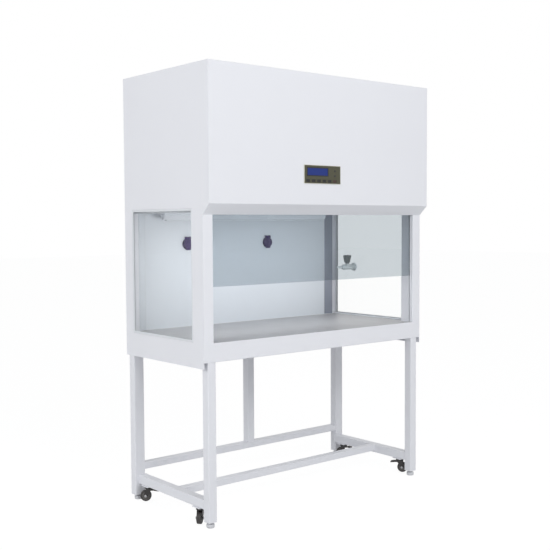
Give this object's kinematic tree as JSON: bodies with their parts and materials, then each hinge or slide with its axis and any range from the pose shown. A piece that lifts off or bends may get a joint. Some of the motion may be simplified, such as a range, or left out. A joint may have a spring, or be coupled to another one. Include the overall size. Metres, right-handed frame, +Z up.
{
  "type": "laminar flow hood",
  "caption": "Vertical laminar flow hood with a sliding glass sash, glass side windows, a steel worktop, a control panel and a tubular stand on braked castors and levelling feet",
  "frame": {"origin": "on the floor, at the middle of the bounding box's bottom face", "axes": "+X to the user's right, +Y from the front to the back, +Z up; the front with the sash and the control panel faces -Y"},
  "size_m": [1.3011, 0.653, 1.9],
  "materials": {
    "painted": "white powder coat, slightly bluish, satin",
    "wall": "pale grey-white powder coat, satin",
    "stainless": "brushed stainless steel, brushed along the width",
    "window_glass": "clear float glass, polished",
    "sash": "toughened glass with a weak grey tint, polished",
    "seal": "pale grey extruded rubber, matt",
    "guide": "grey slide profile, matt",
    "filter_media": "white pleated glass-fibre paper",
    "diffuser": "white powder coat on slotted sheet",
    "galvanised": "galvanised sheet, dull",
    "motor": "grey enamel on cast ribs",
    "lamp_body": "white enamel, gloss",
    "tube": "quartz tube, clear",
    "panel": "dark olive-grey plastic, satin",
    "lcd": "blue display behind clear plastic",
    "keys": "dark grey keys, satin",
    "socket": "dark violet plastic, satin gloss",
    "tap": "satin chrome plate",
    "knob": "dark grey plastic",
    "inlet": "black plastic, matt",
    "fork": "black enamel on pressed steel, satin",
    "wheel": "dark grey polymer tread, matt",
    "pedal": "near-black plastic",
    "foot": "pale grey plastic cup, satin"
  },
  "bodies": {
    "cabinet": {"left_side_panel": "painted", "right_side_panel": "painted", "left_front_post": "painted", "right_front_post": "painted", "back_cover": "painted", "back_wall": "wall", "front_apron": "painted", "worktop": "stainless", "roof_panel": "painted", "front_cover": "painted", "left_glass": "window_glass", "right_glass": "window_glass", "window_gaskets": "seal", "sash_guides": "guide", "hepa_filter": "filter_media", "diffuser_screen": "diffuser", "plenum_box": "painted", "blower_housing": "galvanised", "blower_motor": "motor", "prefilter": "filter_media", "lamp_fixture": "lamp_body", "uv_tube": "tube", "panel_bezel": "panel", "display": "lcd", "control_box": "galvanised", "sockets": "socket", "gas_tap": "tap", "power_inlet": "inlet", "left_end_frame": "painted", "right_end_frame": "painted", "front_rail": "painted", "rear_frame": "painted", "cross_bar": "painted"},
    "sash": {"sash_glass": "sash"},
    "fan_wheel": {"impeller": "galvanised"},
    "key_1_cap": {"key_1": "keys"},
    "key_2_cap": {"key_2": "keys"},
    "key_3_cap": {"key_3": "keys"},
    "key_4_cap": {"key_4": "keys"},
    "key_5_cap": {"key_5": "keys"},
    "key_6_cap": {"key_6": "keys"},
    "left_lid": {"left_socket_lid": "socket"},
    "right_lid": {"right_socket_lid": "socket"},
    "tap_knob": {"gas_knob": "knob"},
    "front_left_castor": {"front_left_fork": "fork"},
    "front_left_roller": {"front_left_wheel": "wheel"},
    "front_left_brake": {"front_left_pedal": "pedal"},
    "front_right_castor": {"front_right_fork": "fork"},
    "front_right_roller": {"front_right_wheel": "wheel"},
    "front_right_brake": {"front_right_pedal": "pedal"},
    "rear_left_castor": {"rear_left_fork": "fork"},
    "rear_left_roller": {"rear_left_wheel": "wheel"},
    "rear_left_brake": {"rear_left_pedal": "pedal"},
    "rear_right_castor": {"rear_right_fork": "fork"},
    "rear_right_roller": {"rear_right_wheel": "wheel"},
    "rear_right_brake": {"rear_right_pedal": "pedal"},
    "front_left_level": {"front_left_foot": "foot"},
    "front_right_level": {"front_right_foot": "foot"},
    "rear_left_level": {"rear_left_foot": "foot"},
    "rear_right_level": {"rear_right_foot": "foot"}
  },
  "joints": [
    {"name": "sash_slide", "type": "slide", "parent": "cabinet", "child": "sash", "axis": [0, 0, 1], "range_m": [-0.228, 0.28]},
    {"name": "fan_spin", "type": "hinge", "parent": "cabinet", "child": "fan_wheel", "pos_m": [0, 0.03065, 1.65], "axis": [1, 0, 0], "continuous": true},
    {"name": "key_1_press", "type": "slide", "parent": "cabinet", "child": "key_1_cap", "axis": [0, 1, 0], "range_m": [0, 0.001], "stiffness_N_per_m": 1200, "springref_m": -0.0005},
    {"name": "key_2_press", "type": "slide", "parent": "cabinet", "child": "key_2_cap", "axis": [0, 1, 0], "range_m": [0, 0.001], "stiffness_N_per_m": 1200, "springref_m": -0.0005},
    {"name": "key_3_press", "type": "slide", "parent": "cabinet", "child": "key_3_cap", "axis": [0, 1, 0], "range_m": [0, 0.001], "stiffness_N_per_m": 1200, "springref_m": -0.0005},
    {"name": "key_4_press", "type": "slide", "parent": "cabinet", "child": "key_4_cap", "axis": [0, 1, 0], "range_m": [0, 0.001], "stiffness_N_per_m": 1200, "springref_m": -0.0005},
    {"name": "key_5_press", "type": "slide", "parent": "cabinet", "child": "key_5_cap", "axis": [0, 1, 0], "range_m": [0, 0.001], "stiffness_N_per_m": 1200, "springref_m": -0.0005},
    {"name": "key_6_press", "type": "slide", "parent": "cabinet", "child": "key_6_cap", "axis": [0, 1, 0], "range_m": [0, 0.001], "stiffness_N_per_m": 1200, "springref_m": -0.0005},
    {"name": "left_lid_hinge", "type": "hinge", "parent": "cabinet", "child": "left_lid", "pos_m": [-0.322, 0.3025, 1.187], "axis": [-1, 0, 0], "range_deg": [0, 110], "stiffness_Nm_per_rad": 0.02, "springref_deg": -17.19},
    {"name": "right_lid_hinge", "type": "hinge", "parent": "cabinet", "child": "right_lid", "pos_m": [0.162, 0.3025, 1.187], "axis": [-1, 0, 0], "range_deg": [0, 110], "stiffness_Nm_per_rad": 0.02, "springref_deg": -17.19},
    {"name": "tap_turn", "type": "hinge", "parent": "cabinet", "child": "tap_knob", "pos_m": [0.589, 0.1695, 1.056], "axis": [0, 0, 1], "range_deg": [0, 90]},
    {"name": "front_left_swivel", "type": "hinge", "parent": "cabinet", "child": "front_left_castor", "pos_m": [-0.61, -0.1865, 0.066], "axis": [0, 0, 1], "continuous": true},
    {"name": "front_left_roll", "type": "hinge", "parent": "front_left_castor", "child": "front_left_roller", "pos_m": [-0.62072, -0.1955, 0.028], "axis": [0.6428, -0.766, 0], "continuous": true},
    {"name": "front_left_brake_press", "type": "hinge", "parent": "front_left_castor", "child": "front_left_brake", "pos_m": [-0.60847, -0.18521, 0.052], "axis": [-0.6428, 0.766, 0], "range_deg": [0, 20]},
    {"name": "front_right_swivel", "type": "hinge", "parent": "cabinet", "child": "front_right_castor", "pos_m": [0.61, -0.1865, 0.066], "axis": [0, 0, 1], "continuous": true},
    {"name": "front_right_roll", "type": "hinge", "parent": "front_right_castor", "child": "front_right_roller", "pos_m": [0.617, -0.19862, 0.028], "axis": [0.866, 0.5, 0], "continuous": true},
    {"name": "front_right_brake_press", "type": "hinge", "parent": "front_right_castor", "child": "front_right_brake", "pos_m": [0.609, -0.18477, 0.052], "axis": [-0.866, -0.5, 0], "range_deg": [0, 20]},
    {"name": "rear_left_swivel", "type": "hinge", "parent": "cabinet", "child": "rear_left_castor", "pos_m": [-0.61, 0.2175, 0.066], "axis": [0, 0, 1], "continuous": true},
    {"name": "rear_left_roll", "type": "hinge", "parent": "rear_left_castor", "child": "rear_left_roller", "pos_m": [-0.62072, 0.2265, 0.028], "axis": [-0.6428, -0.766, 0], "continuous": true},
    {"name": "rear_left_brake_press", "type": "hinge", "parent": "rear_left_castor", "child": "rear_left_brake", "pos_m": [-0.60847, 0.21621, 0.052], "axis": [0.6428, 0.766, 0], "range_deg": [0, 20]},
    {"name": "rear_right_swivel", "type": "hinge", "parent": "cabinet", "child": "rear_right_castor", "pos_m": [0.61, 0.2175, 0.066], "axis": [0, 0, 1], "continuous": true},
    {"name": "rear_right_roll", "type": "hinge", "parent": "rear_right_castor", "child": "rear_right_roller", "pos_m": [0.6001, 0.2274, 0.028], "axis": [-0.7071, -0.7071, 0], "continuous": true},
    {"name": "rear_right_brake_press", "type": "hinge", "parent": "rear_right_castor", "child": "rear_right_brake", "pos_m": [0.61141, 0.21609, 0.052], "axis": [0.7071, 0.7071, 0], "range_deg": [0, 20]},
    {"name": "front_left_level_set", "type": "slide", "parent": "cabinet", "child": "front_left_level", "axis": [0, 0, 1], "range_m": [-0.01, 0.006]},
    {"name": "front_right_level_set", "type": "slide", "parent": "cabinet", "child": "front_right_level", "axis": [0, 0, 1], "range_m": [-0.01, 0.006]},
    {"name": "rear_left_level_set", "type": "slide", "parent": "cabinet", "child": "rear_left_level", "axis": [0, 0, 1], "range_m": [-0.01, 0.006]},
    {"name": "rear_right_level_set", "type": "slide", "parent": "cabinet", "child": "rear_right_level", "axis": [0, 0, 1], "range_m": [-0.01, 0.006]}
  ]
}
